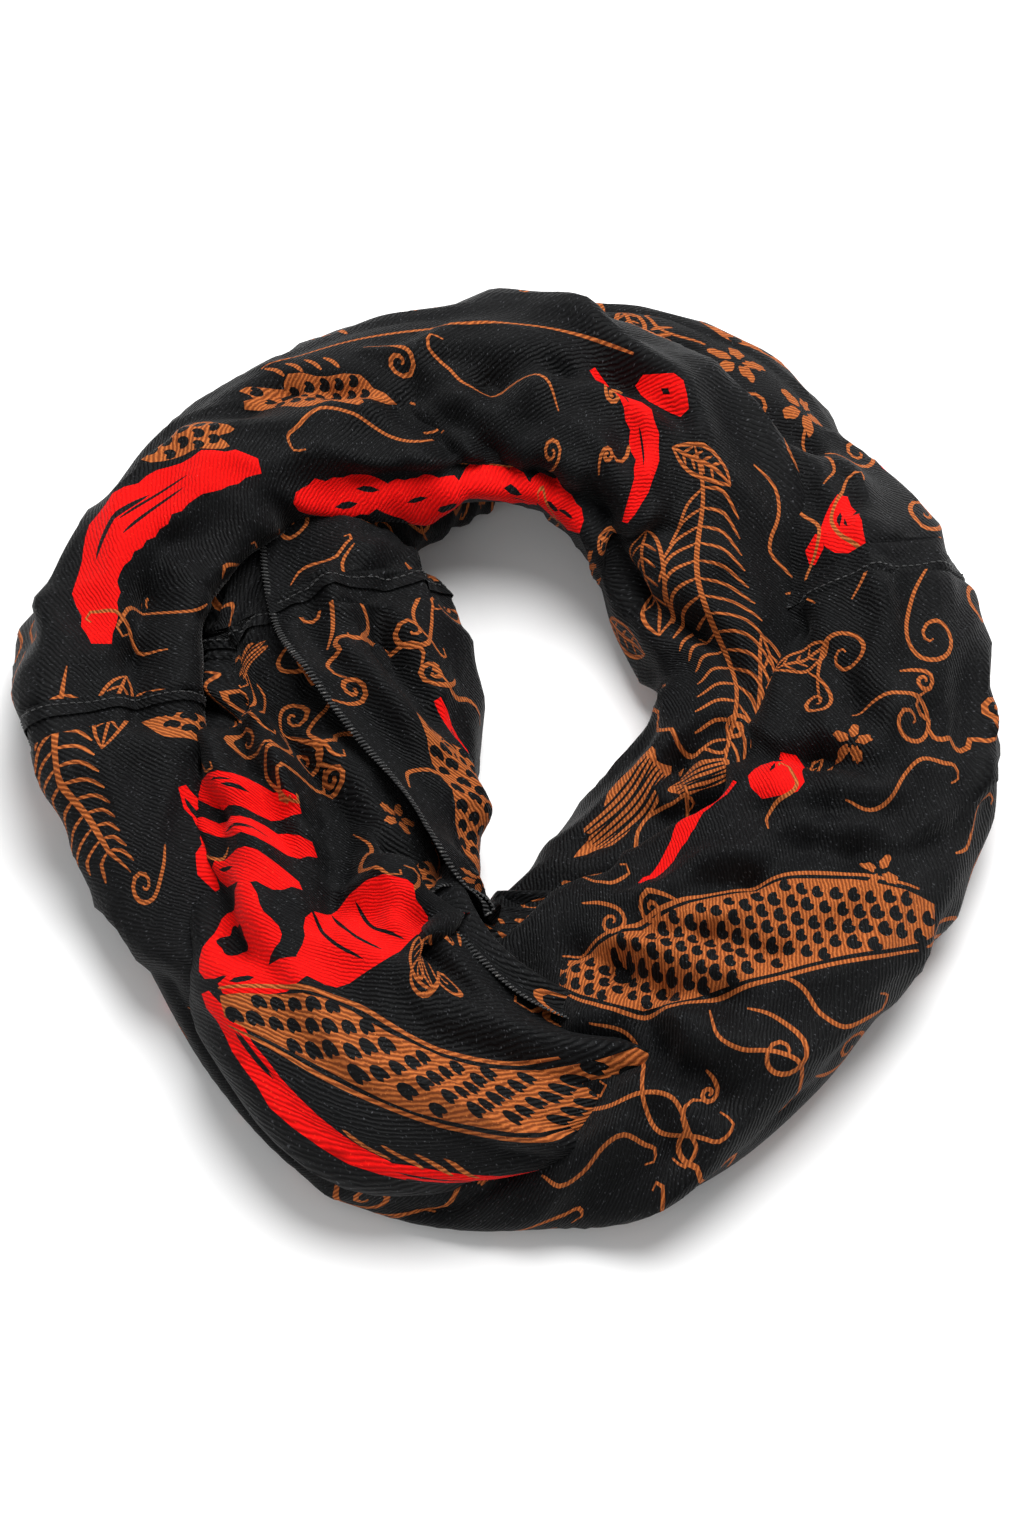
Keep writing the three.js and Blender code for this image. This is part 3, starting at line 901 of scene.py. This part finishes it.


# dyed yarn is near black and keeps some gloss; the inks lie dry on it, and the wales show through, as bumps
# and as painted shade darkening their valleys
twills = [
    twill("black dyed cotton twill, woven", "#010102", "#0d0e0f", "#46474a", 0.62),
    twill("copper ink screen printed on cotton twill", "#7a3c1a", "#bc6832", "#cc7a40", 0.78),
    twill("scarlet ink screen printed on cotton twill", "#c80403", "#f40a06", "#ff2c18", 0.8),
]

# each panel's end laps over the start of the next by the seam allowance
SEAM_LAP = 8.0
SEAM_RISE = 0.9  # how far the upper end stands off the cloth
SEAM_PRESS = 0.4  # how far the lower end is pressed in
for number, (start, end) in enumerate(zip(SEAMS, SEAMS[1:] + (SEAMS[0] + LOOP,)), 1):
    flat, triangles, inks = printed_panel(start - SEAM_LAP, end)
    u, v = flat.T
    rise = SEAM_RISE * smooth((u - (end - 2 * SEAM_LAP)) / SEAM_LAP)
    sink = -SEAM_PRESS * smooth(1 - (u - start) / SEAM_LAP)
    laid = on_cloth(u, v) + on_cloth(u, v, outward) * (rise + sink)[:, None]
    mesh = bpy.data.meshes.new(f"printed_panel_{number}")
    mesh.from_pydata((laid * MM).tolist(), [], triangles)
    for material in twills:
        mesh.materials.append(material)
    mesh.polygons.foreach_set("material_index", inks)
    mesh.shade_smooth()
    layer = mesh.uv_layers.new(name="cloth")
    corners = np.zeros(len(mesh.loops), int)
    mesh.loops.foreach_get("vertex_index", corners)
    layer.data.foreach_set("uv", (flat[corners] * MM).ravel())
    piece = bpy.data.objects.new(f"printed_panel_{number}", mesh)
    bpy.context.scene.collection.objects.link(piece)
    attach(piece, "root")
    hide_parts(f"cloth_panel_{number}")


# ---- Stitching ----------------------------------------------------------
# Black polyester thread. The long edges are overlocked, so thread wraps them
# in slanting loops; each lapped seam is held by one row of running stitches.
def thread(name, base_hex, fleck_hex):
    """Spun polyester thread: a soft gloss, with pale lint caught in it."""
    material = bpy.data.materials.new(name)
    material.use_nodes = True
    tree = material.node_tree
    shader = tree.nodes["Principled BSDF"]
    place = add_node(tree, "ShaderNodeTexCoord")
    lint = add_node(tree, "ShaderNodeTexNoise", None, Vector=place.outputs["Object"], Scale=700.0, Detail=2.0)
    amount = add_node(tree, "ShaderNodeMapRange", None,
                      Value=lint.outputs["Fac"], From_Min=0.6, From_Max=0.66)
    colour = add_node(tree, "ShaderNodeMix", {"data_type": "RGBA"},
                      _0=amount.outputs[0], _6=linear(base_hex), _7=linear(fleck_hex))
    tree.links.new(colour.outputs[2], shader.inputs["Base Color"])
    shader.inputs["Roughness"].default_value = 0.6
    shader.inputs["Sheen Weight"].default_value = 0.3
    return material


# each stitch is drawn as one long rounded bead of thread, laid at its needle hole; at 0.7 and
# 0.9 mm the threads are coarser than real ones of about 0.4 mm, so that they show
stitches = bpy.data.node_groups.new("row of stitches", "GeometryNodeTree")
for way, kind, name in (
    ("INPUT", "NodeSocketGeometry", "Seam line"), ("INPUT", "NodeSocketFloat", "Pitch"),
    ("INPUT", "NodeSocketFloat", "Stitch length"), ("INPUT", "NodeSocketFloat", "Thread width"),
    ("INPUT", "NodeSocketFloat", "Slant"), ("INPUT", "NodeSocketMaterial", "Thread"),
    ("OUTPUT", "NodeSocketGeometry", "Stitches"),
):
    stitches.interface.new_socket(name, in_out=way, socket_type=kind)
given = add_node(stitches, "NodeGroupInput")
seam_curve = add_node(stitches, "GeometryNodeMeshToCurve", None, Mesh=given.outputs["Seam line"])
holes = add_node(stitches, "GeometryNodeResampleCurve", {"mode": "LENGTH"}, Curve=seam_curve.outputs[0])
stitches.links.new(given.outputs["Pitch"], holes.inputs["Length"])
out_of_cloth = add_node(stitches, "GeometryNodeInputNamedAttribute", {"data_type": "FLOAT_VECTOR"},
                        Name="out")
tangent = add_node(stitches, "GeometryNodeInputTangent")
facing = add_node(stitches, "FunctionNodeAlignRotationToVector", {"axis": "Z"},
                  Vector=out_of_cloth.outputs[0])
along_seam = add_node(stitches, "FunctionNodeAlignRotationToVector", {"axis": "X", "pivot_axis": "Z"},
                      Rotation=facing.outputs[0], Vector=tangent.outputs[0])
slanted = add_node(stitches, "FunctionNodeAxisAngleToRotation", None,
                   Axis=(0.0, 0.0, 1.0), Angle=given.outputs["Slant"])
turned_stitch = add_node(stitches, "FunctionNodeRotateRotation", {"rotation_space": "LOCAL"},
                         Rotation=along_seam.outputs[0], Rotate_By=slanted.outputs[0])
loop_shape = add_node(stitches, "GeometryNodeMeshUVSphere", None, Segments=6, Rings=4, Radius=0.5)
loop_size = add_node(stitches, "ShaderNodeCombineXYZ", None, X=given.outputs["Stitch length"],
                     Y=given.outputs["Thread width"], Z=given.outputs["Thread width"])
placed_loops = add_node(stitches, "GeometryNodeInstanceOnPoints", None, Points=holes.outputs[0],
                        Instance=loop_shape.outputs["Mesh"], Rotation=turned_stitch.outputs[0],
                        Scale=loop_size.outputs[0])
real_loops = add_node(stitches, "GeometryNodeRealizeInstances", None, Geometry=placed_loops.outputs[0])
coloured = add_node(stitches, "GeometryNodeSetMaterial", None, Geometry=real_loops.outputs[0],
                    Material=given.outputs["Thread"])
add_node(stitches, "NodeGroupOutput", None, Stitches=coloured.outputs[0])
SOCKETS = {item.name: item.identifier for item in stitches.interface.items_tree if item.in_out == "INPUT"}


def sew(name, u, v, lift, **sizes):
    """A row of stitches along places u, v of the cloth, lifted off it by lift."""
    u, v = np.broadcast_arrays(np.asarray(u, float), np.asarray(v, float))
    out = on_cloth(u, v, outward)
    route = bpy.data.meshes.new(name)
    places = on_cloth(u, v) + out * lift
    places[:, 2] = np.maximum(places[:, 2], 2 * FLOOR)
    route.from_pydata((places * MM).tolist(), [(i, i + 1) for i in range(len(u) - 1)], [])
    route.attributes.new("out", "FLOAT_VECTOR", "POINT").data.foreach_set("vector", out.ravel())
    guide = bpy.data.objects.new(name, route)
    bpy.context.scene.collection.objects.link(guide)
    rule = guide.modifiers.new("stitches", "NODES")
    rule.node_group = stitches
    for key, value in sizes.items():
        rule[SOCKETS[key.replace("_", " ")]] = value
    ready = guide.evaluated_get(bpy.context.evaluated_depsgraph_get())
    mesh = bpy.data.meshes.new_from_object(ready)
    bpy.data.objects.remove(guide)
    mesh.name = name
    mesh.shade_smooth()
    piece = bpy.data.objects.new(name, mesh)
    bpy.context.scene.collection.objects.link(piece)
    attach(piece, "root")
    return piece


edge_thread = thread("black polyester overlock thread, spun", "#101112", "#5e5c59")
seam_thread = thread("black polyester sewing thread, spun", "#101112", "#4a4a4a")
EDGE_INSET = 1.2  # how far the overlocking lies from the cut edge
EDGE_LIFT = 0.4  # and how far it stands off the cloth
SEAM_LIFT = SEAM_RISE + 0.2
GUIDE_STEP = 2.0  # spacing of the points that guide a row of stitches
round_loop = np.arange(0, LOOP, GUIDE_STEP)
for name, v in (("first", EDGE_INSET), ("second", CLOTH_WIDTH - EDGE_INSET)):
    piece = sew(f"overlock_{name}_edge", round_loop, v, EDGE_LIFT, Pitch=1.7 * MM, Stitch_length=3.4 * MM,
                Thread_width=0.9 * MM, Slant=math.radians(66), Thread=edge_thread)
    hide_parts(*[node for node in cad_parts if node.startswith(f"edge_stitching_{name}")])
SEAM_END = 3.0  # a seam's stitches stop this far from the long edges
across = np.arange(SEAM_END, CLOTH_WIDTH - SEAM_END, GUIDE_STEP)
for name, seam in zip(("left", "right", "inner"), SEAMS):
    piece = sew(f"running_stitches_{name}", seam - 0.5 * SEAM_LAP, across, SEAM_LIFT, Pitch=3.2 * MM,
                Stitch_length=2.4 * MM, Thread_width=0.7 * MM, Slant=0.0, Thread=seam_thread)
    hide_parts(f"seam_stitching_{name}")
